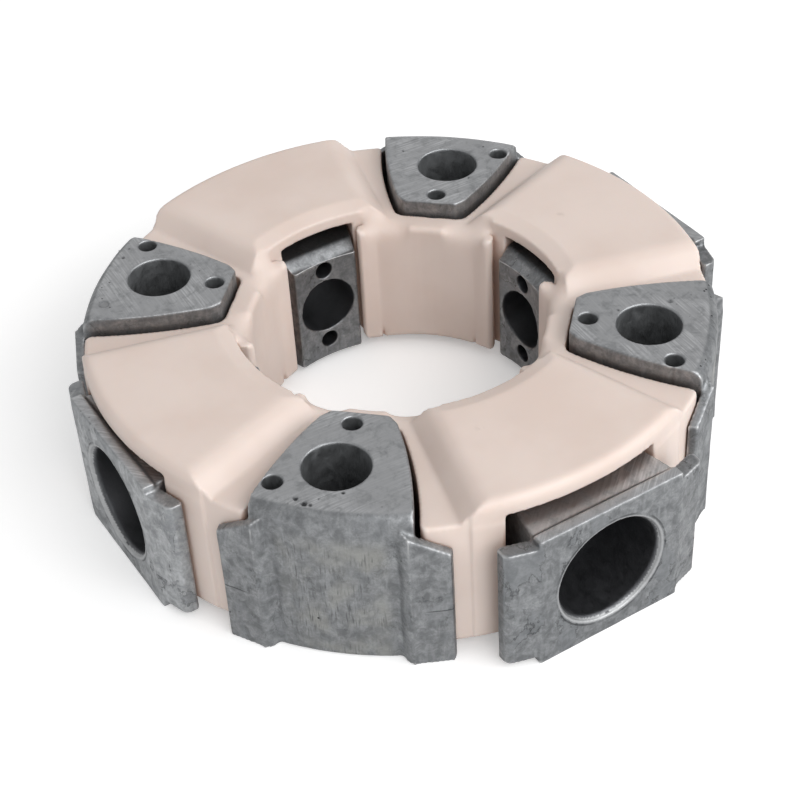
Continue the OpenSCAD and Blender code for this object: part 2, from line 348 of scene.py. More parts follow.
@dataclass(frozen=True)
class MouldedPolyester:
    """Polyester elastomer as it comes from the mould.

    The eye sees a pale, pinkish cream with a soft satin sheen, and light goes a little way in.
    Narrow gaps are darkened towards a warm brown as painted shade, and rounded edges are made
    slightly lighter than the flats as a painted highlight.
    """

    body: str = "#dfcfc6"
    shade: str = "#d8c6bc"
    # Painted shade for narrow gaps, which ambient occlusion finds.
    painted_gap_shade: str = "#a9714e"
    # Painted highlight for rounded, convex edges.
    edge: str = "#e9dcd5"
    speck: str = "#5a4a42"
    smudge: str = "#a08d83"
    roughness: float = 0.46
    cloud_mm: float = 30.0
    peel_mm: float = 1.6
    speck_spacing_mm: float = 17.0
    speck_radius_mm: float = 0.32
    gap_shade_reach_mm: float = 9.0
    smudges: tuple[Smudge, ...] = SMUDGES

    def build(self) -> Material:
        """Build the material."""
        material, tree, shader = new_material("moulded_polyester_elastomer")
        place = place_in_mm(tree, offset_each=False)
        clouds = span(tree, pattern(tree, place, self.cloud_mm, 4.0), 0.35, 0.7)
        colour = blend(tree, clouds, self.body, self.shade)
        # Painted highlight: convex rounded edges are mixed towards a lighter colour.
        edge_highlight = maths(tree, "MULTIPLY", mask(tree, "edge"), 0.55)
        colour = blend(tree, edge_highlight, colour, self.edge)
        colour = self._marks(tree, place, colour)
        # Painted shade: where ambient occlusion finds a narrow gap, the colour is darkened towards
        # a warm brown.
        reach = {"Distance": self.gap_shade_reach_mm * MM}
        open_sky = add(tree, "ShaderNodeAmbientOcclusion", {"samples": 8}, reach).outputs["AO"]
        gap_shade = span(tree, open_sky, 0.62, 0.08)
        colour = blend(tree, maths(tree, "MULTIPLY", gap_shade, 0.55), colour, self.painted_gap_shade)
        rough = span(tree, clouds, 0.0, 1.0, self.roughness - 0.04, self.roughness + 0.05)
        peel = pattern(tree, place, self.peel_mm, 2.0)
        tree.links.new(colour, shader.inputs["Base Color"])
        tree.links.new(rough, shader.inputs["Roughness"])
        tree.links.new(relief(tree, peel, 0.12, 0.1), shader.inputs["Normal"])
        shader.inputs["Subsurface Weight"].default_value = 0.12
        shader.inputs["Subsurface Radius"].default_value = (1.0, 0.55, 0.35)
        shader.inputs["Subsurface Scale"].default_value = 1.5 * MM
        return material

    def _marks(self, tree: Tree, place: Socket, colour: Socket) -> Socket:
        """Add the dark specks and the faint smudges.

        Args:
            tree: the node tree.
            place: place in millimetres.
            colour: the colour below the marks.

        Returns:
            The socket with the marked colour.
        """
        speck = spots(tree, place, self.speck_spacing_mm, self.speck_radius_mm, 0.5)
        colour = blend(tree, maths(tree, "MULTIPLY", speck, 0.75), colour, self.speck)
        broken = span(tree, pattern(tree, place, 2.2, 4.0, (1.0, 2.0, 1.0)), 0.42, 0.62)
        for each in self.smudges:
            ends = {0: place, 1: each.place}
            away = add(tree, "ShaderNodeVectorMath", {"operation": "DISTANCE"}, ends)
            near = span(tree, away.outputs["Value"], each.size, 0.0, 0.0, each.strength)
            colour = blend(tree, maths(tree, "MULTIPLY", near, broken), colour, self.smudge)
        return colour


@dataclass(frozen=True)
class CastAluminium:
    """Pressure die-cast aluminium, left raw, with faced ends and drilled holes.

    The eye sees a mid grey skin mottled by the flow of the metal, with thin dark flow lines
    and pits, bright worn edges, fine straight scratches on faced ends and bores with their own
    colour, near black as painted shade on the radial inserts. Concave corners and tops under
    the ring's roof are darkened as painted shade, and a counterbore's lip carries a painted
    highlight and shadow.
    """

    name: str
    dark: str
    light: str
    bore: str
    wear_and_highlight: str = "#c4c5c6"
    line: str = "#606163"
    # Dark colour of pits, flow lines and the parting line, also used for painted shade and shadow.
    pit_and_shade: str = "#2a2b2d"
    faced_dark: str = "#babbbd"
    faced_light: str = "#dedfe1"
    rubbed: str = "#a6a6a2"
    roughness: float = 0.52
    mottle_mm: float = 3.2
    # Sizes of the features of the flow marks, rubs, wear and scratches, and of their gaps.
    flow_mm: float = 13.0
    upright_mm: float = 1.5
    gap_mm: float = 6.0
    rub_mm: float = 11.0
    stroke_mm: float = 7.0
    wear_mm: float = 3.0
    sweep_mm: float = 19.0
    # Sand-like grain is drawn at several times its real size, which is too fine to show.
    grain_mm: float = 0.7
    cluster_mm: float = 14.0
    pit_spacing_mm: float = 3.4
    pit_radius_mm: float = 0.42
    scratch_mm: float = 0.45
    scratch_turn_deg: float = 40.0
    flow_lines: float = 0.5
    # Where two flows of metal met, the later one lies over the other as a thin lap.
    lap: str = "#898c8f"
    lap_level: float = 0.56
    # Height of the parting line that the die left across the wings, and how far out it starts.
    parting_z: float = 18.5
    parting_from: float = 21.5
    parting_line: float = 0.0
    # Place of the counterbore on the plate and the radius of its lip, painted as a highlight.
    lip_centre_z: float = HUB_BOLT_Z
    lip_from_x: float = 70.0
    lip_radius: float = 0.0
    lip_half: float = 0.7

    def build(self) -> Material:
        """Build the material."""
        material, tree, shader = new_material(self.name)
        place = place_in_mm(tree)
        mottle = pattern(tree, place, self.mottle_mm, 8.0, distortion=0.4, roughness=0.66)
        grain = pattern(tree, place, self.grain_mm, 4.0, roughness=0.7)
        scratches = pattern(
            tree, place, self.scratch_mm, 2.0, (1.0, 26.0, 8.0), (0.0, 0.0, self.scratch_turn_deg)
        )
        cloud = span(tree, pattern(tree, place, self.flow_mm, 4.0), 0.3, 0.7, -0.12, 0.12)
        tone = maths(tree, "ADD", span(tree, mottle, 0.3, 0.7), cloud)
        colour = blend(tree, tone, self.dark, self.light)
        colour = self._skin(tree, place, mottle, grain, colour)
        colour = self._rubbed(tree, place, colour)
        faced = mask(tree, "faced")
        swept = span(tree, pattern(tree, place, self.sweep_mm, 2.0), 0.4, 0.62, 0.2, 1.0)
        scratched = maths(tree, "MULTIPLY", span(tree, scratches, 0.38, 0.7), swept)
        brushed = blend(tree, scratched, self.faced_dark, self.faced_light)
        shown = maths(tree, "MULTIPLY", faced, span(tree, mottle, 0.3, 0.55, 0.45, 0.85))
        colour = blend(tree, shown, colour, brushed)
        colour, pits = self._pits(tree, place, colour)
        patchy = span(tree, pattern(tree, place, self.wear_mm, 4.0), 0.3, 0.6)
        wear = maths(tree, "MULTIPLY", mask(tree, "edge"), patchy)
        colour = blend(tree, wear, colour, self.wear_and_highlight)
        # Painted shade darkens concave corners; the next mask adds real dirt in dents and painted
        # shadow under the ring's roof.
        corner_shade = maths(tree, "MULTIPLY", mask(tree, "hollow"), 0.6)
        dirt_and_shade = maths(tree, "MAXIMUM", corner_shade, mask(tree, "grime"))
        colour = blend(tree, dirt_and_shade, colour, self.pit_and_shade)
        # Bore walls: drilled-metal grey on the axial inserts, painted shade on the radial ones.
        colour = blend(tree, mask(tree, "bore"), colour, self.bore)
        tree.links.new(colour, shader.inputs["Base Color"])
        rough = span(tree, mottle, 0.3, 0.7, self.roughness + 0.08, self.roughness - 0.08)
        rough = maths(tree, "SUBTRACT", rough, maths(tree, "MULTIPLY", faced, 0.1))
        tree.links.new(rough, shader.inputs["Roughness"])
        skin_height = maths(tree, "ADD", maths(tree, "MULTIPLY", grain, 0.6), mottle)
        flat_height = maths(tree, "MULTIPLY", scratches, 0.35)
        heights = {0: shown, 2: skin_height, 3: flat_height}
        height = add(tree, "ShaderNodeMix", {"data_type": "FLOAT"}, heights).outputs[0]
        height = maths(tree, "SUBTRACT", height, pits)
        tree.links.new(relief(tree, height, 0.35, 0.15), shader.inputs["Normal"])
        shader.inputs["Metallic"].default_value = 1.0
        return material

    def _skin(
        self, tree: Tree, place: Socket, mottle: Socket, grain: Socket, colour: Socket
    ) -> Socket:
        """Add grain, upright flow marks and laps, and the parting line or the lip's painted
        highlight and shadow where there is one.

        Args:
            tree: the node tree.
            place: place in millimetres.
            mottle: noise of the mottled skin.
            grain: noise of the fine grain.
            colour: the colour below.

        Returns:
            The socket with the colour of the cast skin.
        """
        shade = span(tree, grain, 0.35, 0.65, 0.0, 0.45)
        colour = blend(tree, shade, colour, self.dark)
        upright = pattern(tree, place, self.upright_mm, 6.0, (1.0, 1.0, 4.0), distortion=0.4)
        streaks = span(tree, upright, 0.52, 0.7, 0.0, 0.5)
        colour = blend(tree, streaks, colour, self.light)
        lap = pattern(
            tree, place, self.flow_mm, 7.0, (1.0, 1.0, 1.5), distortion=0.3, roughness=0.62
        )
        level = self.lap_level
        inside = span(tree, lap, level, level + 0.012, 0.0, 0.55 * self.flow_lines)
        colour = blend(tree, inside, colour, self.lap)
        ridge = maths(tree, "ABSOLUTE", maths(tree, "SUBTRACT", lap, level))
        line = span(tree, ridge, 0.013, 0.003, 0.0, 0.6 * self.flow_lines)
        gaps = span(tree, pattern(tree, place, self.gap_mm, 3.0), 0.42, 0.58, 0.15, 1.0)
        colour = blend(tree, maths(tree, "MULTIPLY", line, gaps), colour, self.pit_and_shade)
        own = add(tree, "ShaderNodeSeparateXYZ", {}, {0: place_in_mm(tree, offset_each=False)})
        if self.lip_radius:
            colour = self._lip_highlight_and_shadow(tree, own, gaps, colour)
        if self.parting_line:
            colour = self._parting(tree, own, mottle, colour)
        return colour

    def _parting(self, tree: Tree, own: Node, mottle: Socket, colour: Socket) -> Socket:
        """Add the parting line across the wings.

        Args:
            tree: the node tree.
            own: node that gives the place in the piece's own millimetres.
            mottle: noise that lets the line wander.
            colour: the colour below.

        Returns:
            The socket with the colour.
        """
        wander = maths(tree, "ADD", own.outputs["Z"], maths(tree, "MULTIPLY", mottle, 0.8))
        away = maths(tree, "ABSOLUTE", maths(tree, "SUBTRACT", wander, self.parting_z))
        across = maths(tree, "ABSOLUTE", own.outputs["Y"])
        far_out = span(tree, across, self.parting_from, self.parting_from + 2.0)
        near = span(tree, away, 0.3, 0.1, 0.0, self.parting_line)
        return blend(tree, maths(tree, "MULTIPLY", near, far_out), colour, self.pit_and_shade)

    def _lip_highlight_and_shadow(self, tree: Tree, own: Node, gaps: Socket, colour: Socket) -> Socket:
        """Add a painted highlight on the lip round the counterbore and a painted shadow line round
        the lip.

        Args:
            tree: the node tree.
            own: node that gives the place in the piece's own millimetres.
            gaps: mask that breaks the dark line.
            colour: the colour below.

        Returns:
            The socket with the colour.
        """
        up = maths(tree, "SUBTRACT", own.outputs["Z"], self.lip_centre_z)
        squares = [maths(tree, "POWER", side, 2.0) for side in (up, own.outputs["Y"])]
        radius = maths(tree, "SQRT", maths(tree, "ADD", *squares))
        away = maths(tree, "SUBTRACT", radius, self.lip_radius)
        on_plate = span(tree, own.outputs["X"], self.lip_from_x, self.lip_from_x + 1.0)
        half = self.lip_half
        # Painted highlight on the lip, where the step round the counterbore catches the light.
        near = span(tree, maths(tree, "ABSOLUTE", away), half, half * 0.6, 0.0, 0.7)
        colour = blend(tree, maths(tree, "MULTIPLY", near, on_plate), colour, self.wear_and_highlight)
        # Painted shadow: a dark line just beyond the lip, for the step's shaded wall.
        beyond = maths(tree, "ABSOLUTE", maths(tree, "SUBTRACT", away, half * 1.5))
        line = maths(tree, "MULTIPLY", span(tree, beyond, 0.35, 0.1, 0.0, 0.6), on_plate)
        return blend(tree, maths(tree, "MULTIPLY", line, gaps), colour, self.pit_and_shade)

    def _rubbed(self, tree: Tree, place: Socket, colour: Socket) -> Socket:
        """Add the upright brush marks and paler patches of a wall that was rubbed clean.

        Args:
            tree: the node tree.
            place: place in millimetres.
            colour: the colour below.

        Returns:
            The socket with the colour of the rubbed wall.
        """
        rubbed = mask(tree, "rubbed")
        clouds = pattern(tree, place, self.rub_mm, 4.0, distortion=0.5)
        patches = span(tree, clouds, 0.42, 0.66, 0.05, 0.75)
        pale = blend(tree, maths(tree, "MULTIPLY", rubbed, patches), colour, self.rubbed)
        brush = pattern(tree, place, self.scratch_mm, 3.0, (1.0, 1.0, 9.0))
        strokes = span(tree, brush, 0.5, 0.7, 0.0, 0.7)
        uneven = span(tree, pattern(tree, place, self.stroke_mm, 3.0), 0.42, 0.6, 0.15, 1.0)
        strokes = maths(tree, "MULTIPLY", maths(tree, "MULTIPLY", rubbed, strokes), uneven)
        return blend(tree, strokes, pale, self.line)

    def _pits(self, tree: Tree, place: Socket, colour: Socket) -> tuple[Socket, Socket]:
        """Add dark pits in loose clusters.

        Args:
            tree: the node tree.
            place: place in millimetres.
            colour: the colour below.

        Returns:
            The socket with the colour, and one that is 1 in a pit.
        """
        holes = spots(tree, place, self.pit_spacing_mm, self.pit_radius_mm, 0.4)
        loose = span(tree, pattern(tree, place, self.cluster_mm, 3.0), 0.5, 0.66)
        cluster = maths(tree, "MAXIMUM", loose, mask(tree, "pitted"))
        pits = maths(tree, "MULTIPLY", holes, cluster)
        return blend(tree, pits, colour, self.pit_and_shade), pits


FACED_METAL = CastAluminium(
    "die_cast_aluminium_faced", dark="#7a7c7e", light="#a4a6a8", bore="#a2a4a6", parting_line=0.6
)
SKIN_METAL = CastAluminium(
    "die_cast_aluminium_skin",
    dark="#787a7c",
    light="#a4a6a8",
    # Near-black bore walls, as painted shade inside the holes.
    bore="#5c5d60",
    flow_lines=0.9,
    lip_radius=15.4,
)
# A lit copy of the skin: its paler colours are painted light.
LIT_COPY_METAL = replace(
    SKIN_METAL, name="die_cast_aluminium_pale_skin", dark="#96989a", light="#c8cacc"
)


@dataclass(frozen=True)
class Dent:
    """A round, shallow mark in an insert: an ejector mark, a crater or a knock.

    The place is in the insert's own millimetres, the depth is positive into the metal, rim
    is the height of the raised rim round it, and dark says how much dirt it holds.
    """

    face: Face
    place: tuple[float, float]
    radius: float
    depth: float
    rim: float = 0.0
    dark: float = 0.0
    rim_half: float = 0.35

    def spot(self, skin: Skin) -> tuple[np.ndarray, np.ndarray]:
        """How far each vertex is from the middle, and how far it belongs to that side.

        Args:
            skin: the piece's skin.

        Returns:
            The distances in millimetres and the shares from 0 to 1.
        """
        axis = self.face.value
        flat = [k for k in range(3) if k != axis]
        away = np.linalg.norm(skin.places[:, flat] - np.array(self.place), axis=1)
        return away, ramp(skin.normals[:, axis], 0.6, 0.9)


def top_dent(
    x: float, y: float, radius: float, depth: float, dark: float, rim: float = 0.0
) -> Dent:
    """A dent in the top of an insert.

    Args:
        x: how far out it lies on the insert's own axes.
        y: how far to the side it lies.
        radius: its radius.
        depth: its depth.
        dark: how much dirt it holds, from 0 to 1.
        rim: height of the raised rim round it.

    Returns:
        The dent.
    """
    return Dent(Face.TOP, (x, y), radius, depth, rim, dark)


# Round marks that the ejector pins left on the plate of each radial insert.
EJECTOR_MARKS = tuple(
    Dent(Face.OUTER, (side * 13.3, height), 2.6, 0.22, rim=0.08)
    for side in (-1, 1)
    for height in (7.0, 34.0)
)
# Dirty pits and knocks on the tops of the axial inserts, as the photograph shows them.
AXIAL_DENTS = (
    (top_dent(72.0, 12.5, 0.5, 0.2, 0.8), top_dent(60.0, -9.0, 0.4, 0.15, 0.7)),
    (top_dent(77.5, 12.5, 1.6, 0.35, 0.2, rim=0.15), top_dent(79.0, -9.0, 0.6, 0.25, 0.8)),
    (
        top_dent(79.0, -8.5, 0.8, 0.3, 0.9),
        top_dent(80.4, -6.2, 0.9, 0.3, 0.9),
        top_dent(80.6, -4.6, 0.5, 0.2, 0.8),
        top_dent(75.6, 2.2, 0.6, 0.2, 0.9),
        top_dent(78.5, -3.0, 0.35, 0.15, 0.8),
    ),
    (top_dent(71.0, 8.5, 0.8, 0.3, 0.5, rim=0.1), top_dent(58.0, 3.0, 0.4, 0.2, 0.7)),
)
# How thick the pits lie along the outer edge of each axial insert's top.
AXIAL_EDGE_PITS = (0.3, 0.7, 0.3, 1.0)


def read_vertices(mesh: Mesh, what: str = "co") -> np.ndarray:
    """Read places or normals of a mesh's vertices.

    Args:
        mesh: the mesh.
        what: "co" for places or "normal" for normals.

    Returns:
        One row of x, y and z for each vertex.
    """
    flat = np.zeros(len(mesh.vertices) * 3)
    mesh.vertices.foreach_get(what, flat)
    return flat.reshape(-1, 3)


@dataclass(frozen=True)
class Skin:
    """The vertices of a piece in its own millimetres, and their normals."""

    places: np.ndarray
    normals: np.ndarray


def skin_of(mesh: Mesh) -> Skin:
    """Read the skin of a mesh."""
    return Skin(read_vertices(mesh) / MM, read_vertices(mesh, "normal"))


def write_vertices(mesh: Mesh, places: np.ndarray) -> None:
    """Write the places of a mesh's vertices."""
    mesh.vertices.foreach_set("co", places.ravel())
    mesh.update()


def write_mask(mesh: Mesh, name: str, values: np.ndarray) -> None:
    """Store a value for each vertex, for a material to read."""
    layer = mesh.attributes.new(name, "FLOAT", "POINT")
    layer.data.foreach_set("value", np.clip(values, 0, 1).astype(np.float32))


def weld(mesh: Mesh) -> None:
    """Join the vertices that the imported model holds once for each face."""
    work = bmesh.new()
    work.from_mesh(mesh)
    bmesh.ops.remove_doubles(work, verts=work.verts, dist=0.001 * MM)
    work.to_mesh(mesh)
    work.free()


def apply_modifiers(made: Object) -> None:
    """Turn an object's modifiers into its mesh."""
    before = made.data
    graph = bpy.context.evaluated_depsgraph_get()
    made.data = bpy.data.meshes.new_from_object(made.evaluated_get(graph))
    made.modifiers.clear()
    bpy.data.meshes.remove(before)
    made.data.name = made.name


def ramp(values: np.ndarray, low: float, high: float) -> np.ndarray:
    """Rise smoothly from 0 at low to 1 at high."""
    t = np.clip((values - low) / (high - low), 0, 1)
    return t * t * (3 - 2 * t)


def edge_ends(mesh: Mesh) -> np.ndarray:
    """The numbers of the two vertices of each edge, one row for each edge."""
    ends = np.zeros(len(mesh.edges) * 2, int)
    mesh.edges.foreach_get("vertices", ends)
    return ends.reshape(-1, 2)


def gather(
    ends: np.ndarray, size: int, to_first: np.ndarray | None, to_second: np.ndarray | None
) -> np.ndarray:
    """Add up at each vertex what its edges bring.

    Args:
        ends: the two vertices of each edge.
        size: how many vertices there are.
        to_first: what each edge brings to its first vertex, or None to count the edges.
        to_second: the same for its second vertex.

    Returns:
        The sum for each vertex.
    """
    first, second = ends.T
    return np.bincount(first, to_first, size) + np.bincount(second, to_second, size)


def convexity(mesh: Mesh, rounds: int) -> np.ndarray:
    """How sharply the surface bends outwards at each vertex.

    Args:
        mesh: the mesh.
        rounds: how many times the value is spread to its neighbours.

    Returns:
        Curvature in 1/mm, positive where the surface is convex.
    """
    skin = skin_of(mesh)
    ends, size = edge_ends(mesh), len(skin.places)
    a, b = ends.T
    way = skin.places[a] - skin.places[b]
    turn = skin.normals[a] - skin.normals[b]
    bend = (turn * way).sum(1) / np.maximum((way * way).sum(1), 1e-9)
    count = np.maximum(gather(ends, size, None, None), 1)
    value = gather(ends, size, bend, bend) / count
    for _ in range(rounds):
        near = gather(ends, size, value[b], value[a])
        value = 0.5 * value + 0.5 * near / count
    return value


def relax(mesh: Mesh, share: np.ndarray, rounds: int) -> None:
    """Move each vertex towards the middle of its neighbours.

    Args:
        mesh: the mesh.
        share: how far each vertex takes part, from 0 to 1.
        rounds: how many times the vertices move.
    """
    places = read_vertices(mesh)
    ends, size = edge_ends(mesh), len(places)
    ends = ends[(share[ends] > 0).any(axis=1)]
    a, b = ends.T
    count = np.maximum(gather(ends, size, None, None), 1)
    for _ in range(rounds):
        for axis in range(3):
            line = places[:, axis]
            near = gather(ends, size, line[b], line[a])
            line += (near / count - line) * 0.5 * share
    write_vertices(mesh, places)


def waves(places: np.ndarray, size_mm: float, seed: float) -> np.ndarray:
    """Smooth noise from about -1 to 1 at each place, with features of a given size."""
    shift = Vector((seed * 17.3, seed * 5.1, seed * 29.7))
    return np.array([noise.noise(Vector(p) / size_mm + shift) for p in places])


@dataclass
class Piece:
    """One cast or moulded piece that stands for a CAD node.

    turn is the direction of its own x axis in degrees, and shift moves its own origin.
    """

    node: str
    turn: float = 0.0
    shift: tuple[float, float, float] = (0.0, 0.0, 0.0)
    index: int = 0
    # The skin is made finer than it is kept, so that edges at a slant to its grid stay even.
    voxel: float = 0.42
    smooth_rounds: int = 4
    kept_faces: int = 92000
    edge_curve: tuple[float, float] = (0.3, 1.1)

    def own_axes(self) -> Matrix:
        """Where the piece's own axes lie in the part's frame, in metres."""
        turned = Matrix.Rotation(math.radians(self.turn), 4, "Z")
        return turned @ Matrix.Translation(Vector(self.shift) * MM)

    def soften(self, source: Object) -> Object:
        """Copy a CAD node into the piece's own axes with the soft edges of the real piece.

        Args:
            source: the CAD node.

        Returns:
            The new object.
        """
        copy = source.data.copy()
        copy.materials.clear()
        copy.transform(self.own_axes().inverted())
        weld(copy)
        made = bpy.data.objects.new(f"{self.node}_cast", copy)
        bpy.context.scene.collection.objects.link(made)
        remesh = made.modifiers.new("even_skin", "REMESH")
        remesh.mode = "VOXEL"
        remesh.voxel_size = self.voxel * MM
        smooth = made.modifiers.new("soft_edges", "SMOOTH")
        smooth.factor = 0.5
        smooth.iterations = self.smooth_rounds
        apply_modifiers(made)
        return made

    def thin_out(self, made: Object) -> None:
        """Leave out faces where the surface is nearly flat, down to the number that is kept.

        Args:
            made: the piece.
        """
        fewer = made.modifiers.new("fewer_faces", "DECIMATE")
        fewer.ratio = min(1.0, self.kept_faces / (2 * len(made.data.polygons)))
        apply_modifiers(made)
        made.data.polygons.foreach_set("use_smooth", np.ones(len(made.data.polygons), bool))

    def shape(self, mesh: Mesh) -> None:
        """Add the marks of making and use; a piece without any leaves the mesh as it is."""

    def paint_masks(self, mesh: Mesh) -> None:
        """Store the masks that the finish reads."""
        bend = convexity(mesh, 2)
        write_mask(mesh, "edge", ramp(bend, *self.edge_curve))
        write_mask(mesh, "hollow", ramp(-bend, *self.edge_curve))

    def build(self, nodes: dict[str, Object], finish: Material, slot: str) -> None:
        """Build the piece and let it stand for its CAD node.

        Args:
            nodes: the CAD nodes by name.
            finish: its material.
            slot: the record's material slot, which is not used.
        """
        source = nodes[self.node]
        made = self.soften(source)
        self.shape(made.data)
        self.thin_out(made)
        self.paint_masks(made.data)
        made.matrix_world = self.own_axes()
        made.pass_index = self.index
        made.data.materials.append(finish)
        source.hide_render = True
        source.hide_viewport = True
        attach(made, "root")
        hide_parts(self.node)
        LOG.info("%s: %d faces", made.name, len(made.data.polygons))


@dataclass
class ElastomerRing(Piece):
    """The moulded ring, in one piece.

    The walls of the hub space bend softly beside the windows: sweep_at and sweep_half say how
    many degrees from the middle of an axial insert, and how widely.
    """

    smooth_rounds: int = 2
    kept_faces: int = 185000
    edge_curve: tuple[float, float] = (0.2, 0.8)
    wave_mm: float = 26.0
    wave_depth: float = 0.12
    # Each octree level halves the size of a face.
    octree_depth: int = 8
    sweep_at: float = 16.0
    sweep_half: tuple[float, float] = (5.5, 9.5)
    sweep_reach: float = 45.3
    sweep_rounds: int = 150
    foot_heights: tuple[float, float] = (5.0, 9.0)
    crest_heights: tuple[float, float] = (36.0, 40.0)
    crest_half: float = 1.5
    filling_half: float = 14.0
    filling_radii: tuple[float, float] = (41.2, 45.2)
    filling_heights: tuple[float, float] = (3.82, 42.38)
    filling_cuts: int = 9

    def soften(self, source: Object) -> Object:
        """Copy the ring with its edges kept straight, slightly rounded, and softly swept corners.

        Args:
            source: the CAD node.

        Returns:
            The new object.
        """
        copy = source.data.copy()
        copy.materials.clear()
        weld(copy)
        made = bpy.data.objects.new(f"{self.node}_cast", copy)
        bpy.context.scene.collection.objects.link(made)
        filling = bpy.data.objects.new("wall_filling", self.filling())
        bpy.context.scene.collection.objects.link(filling)
        whole = made.modifiers.new("whole_walls", "BOOLEAN")
        whole.operation = "UNION"
        whole.solver = "EXACT"
        whole.object = filling
        apply_modifiers(made)
        bpy.data.objects.remove(filling)
        remesh = made.modifiers.new("even_skin", "REMESH")
        remesh.mode = "SHARP"
        remesh.octree_depth = self.octree_depth
        remesh.scale = 0.99
        remesh.use_remove_disconnected = False
        apply_modifiers(made)
        everywhere = np.ones(len(made.data.vertices))
        relax(made.data, everywhere, self.smooth_rounds)
        relax(made.data, self.swept(skin_of(made.data)), self.sweep_rounds)
        return made

    def filling(self) -> Mesh:
        """Four arcs that make the walls behind the axial inserts whole.

        The CAD ring has a slit about 1 mm wide in each of these walls, which the real one lacks.
        """
        corners, faces = [], []
        for i in range(INSERT_COUNT):
            middle = (i + 0.5) * STEP_ANGLE + SADDLE_TURN
            first = len(corners)
            steps = np.linspace(-self.filling_half, self.filling_half, self.filling_cuts)
            turns = [math.radians(middle + step) for step in steps]
            for turn in turns:
                x, y = math.cos(turn), math.sin(turn)
                for radius, height in itertools.product(self.filling_radii, self.filling_heights):
                    corners.append((radius * x * MM, radius * y * MM, height * MM))
            # Each cut holds its inner low, inner high, outer low and outer high corner.
            for cut in range(len(turns) - 1):
                a, b = first + 4 * cut, first + 4 * cut + 4
                for p, q in ((1, 0), (0, 2), (2, 3), (3, 1)):
                    faces.append((a + p, a + q, b + q, b + p))
            faces.append((first, first + 1, first + 3, first + 2))
            last = first + 4 * (len(turns) - 1)
            faces.append((last + 2, last + 3, last + 1, last))
        mesh = bpy.data.meshes.new("wall_filling")
        mesh.from_pydata(corners, [], faces)
        work = bmesh.new()
        work.from_mesh(mesh)
        bmesh.ops.recalc_face_normals(work, faces=work.faces)
        work.to_mesh(mesh)
        work.free()
        return mesh

    def swept(self, skin: Skin) -> np.ndarray:
        """How far each vertex belongs to a swept corner of the hub space, from 0 to 1.

        Args:
            skin: the ring's skin.

        Returns:
            The value for each vertex.
        """
        x, y, height = skin.places.T
        reach = np.linalg.norm(skin.places[:, :2], axis=1)
        inwards = -(skin.normals[:, :2] * skin.places[:, :2]).sum(1) / reach
        angle = np.degrees(np.arctan2(y, x)) - SADDLE_TURN
        from_saddle = np.abs(np.mod(angle, STEP_ANGLE) - STEP_ANGLE / 2)
        near = 1 - ramp(np.abs(from_saddle - self.sweep_at), *self.sweep_half)
        above_foot = ramp(height, *self.foot_heights)
        sides = (reach < self.sweep_reach) * ramp(inwards, 0.1, 0.5) * above_foot
        inner = 1 - ramp(reach, self.sweep_reach - self.crest_half, self.sweep_reach)
        return near * np.maximum(sides, inner * ramp(height, *self.crest_heights))

    def shape(self, mesh: Mesh) -> None:
        """Let the surface wander slightly, as a thick moulding does when it shrinks."""
        places, normals = read_vertices(mesh), read_vertices(mesh, "normal")
        height = waves(places / MM, self.wave_mm, 1.0) * self.wave_depth
        write_vertices(mesh, places + normals * (height * MM)[:, None])


@dataclass
class Insert(Piece):
    """A die-cast insert, with casting waves and dents."""

    top: float = 0.0
    wave_mm: float = 7.0
    wave_depth: float = 0.07
    dents: tuple[Dent, ...] = ()
    bores: tuple[tuple[Vector, Vector, float], ...] = ()

    def flat_top(self, skin: Skin, from_below: float, to_below: float) -> np.ndarray:
        """How far each vertex belongs to the flat top, from 0 to 1.

        Args:
            skin: the insert's skin.
            from_below: how far below the top its part in it starts.
            to_below: how far below the top its part in it is full.

        Returns:
            The value for each vertex.
        """
        high = ramp(skin.places[:, 2], self.top - from_below, self.top - to_below)
        return ramp(skin.normals[:, 2], 0.85, 0.97) * high

    def masks(self, skin: Skin) -> dict[str, np.ndarray]:
        """How far each vertex belongs to each place that the finish treats in its own way.

        Args:
            skin: the insert's skin.

        Returns:
            Values from 0 to 1 by mask: faced for a faced end, rubbed for a wall that was rubbed
            clean, pitted for a strip full of pits, and one for dirt in dents together with
            painted shadow under the ring's roof.
        """
        return {"faced": np.zeros(len(skin.places))}

    def bore_walls(self, skin: Skin) -> np.ndarray:
        """How far each vertex belongs to the wall of a drilled hole, from 0 to 1.

        Args:
            skin: the insert's skin.

        Returns:
            The value for each vertex.
        """
        inside = np.zeros(len(skin.places))
        for start, way, radius in self.bores:
            offset = skin.places - np.array(start)
            along = offset @ np.array(way)
            across = offset - along[:, None] * np.array(way)
            distance = np.linalg.norm(across, axis=1)
            facing = -(skin.normals * across).sum(1) / np.maximum(distance, 1e-6)
            wall = (distance < radius + 0.5) * ramp(facing, 0.45, 0.85)
            inside = np.maximum(inside, wall)
        return inside

    def shape(self, mesh: Mesh) -> None:
        """Add the casting waves and the dents."""
        skin = skin_of(mesh)
        cast = 1 - np.maximum(self.masks(skin)["faced"], self.bore_walls(skin))
        height = waves(skin.places, self.wave_mm, float(self.index)) * self.wave_depth * cast
        for dent in self.dents:
            away, facing = dent.spot(skin)
            height -= facing * dent.depth * (1 - ramp(away, dent.radius * 0.8, dent.radius))
            height += facing * dent.rim * np.exp(-(((away - dent.radius) / dent.rim_half) ** 2))
        write_vertices(mesh, (skin.places + skin.normals * height[:, None]) * MM)

    def paint_masks(self, mesh: Mesh) -> None:
        """Store the masks for worn edges, for the insert's own places and for its bores."""
        super().paint_masks(mesh)
        skin = skin_of(mesh)
        masks = self.masks(skin) | {"bore": self.bore_walls(skin)}
        # Real dirt in the dents joins any painted shadow in the insert's own masks.
        grime = masks.get("grime", np.zeros(len(skin.places)))
        for dent in self.dents:
            away, facing = dent.spot(skin)
            inside = 1 - ramp(away, dent.radius * 0.6, dent.radius)
            grime = np.maximum(grime, dent.dark * facing * inside)
        for name, values in (masks | {"grime": grime}).items():
            write_mask(mesh, name, values)


